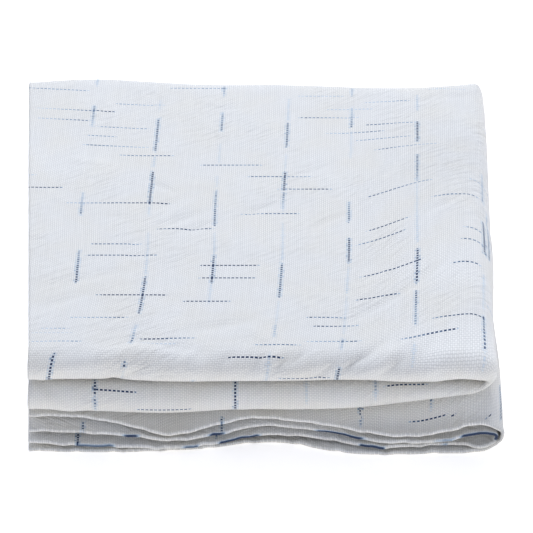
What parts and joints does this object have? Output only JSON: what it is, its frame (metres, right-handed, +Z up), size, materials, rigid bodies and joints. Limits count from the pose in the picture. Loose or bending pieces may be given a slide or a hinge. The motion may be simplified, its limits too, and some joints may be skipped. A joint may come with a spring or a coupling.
{
  "type": "folded ikat cloth",
  "caption": "Length of white plain-woven cotton cloth with short indigo ikat dashes, folded lengthwise, crosswise and lengthwise again, lying flat.",
  "frame": {"origin": "middle of the bottom of the object's box, on the surface that the cloth lies on", "axes": "+X along the front rolls to the turned right-hand end, +Y from the front rolls to the back roll, +Z up"},
  "size_m": [0.1438, 0.1426, 0.0338],
  "materials": {
    "cloth": "bleached plain-woven cotton, matt, with yarns dyed indigo in short stretches"
  },
  "bodies": {
    "root": {"folded_cloth": "cloth"}
  },
  "joints": []
}
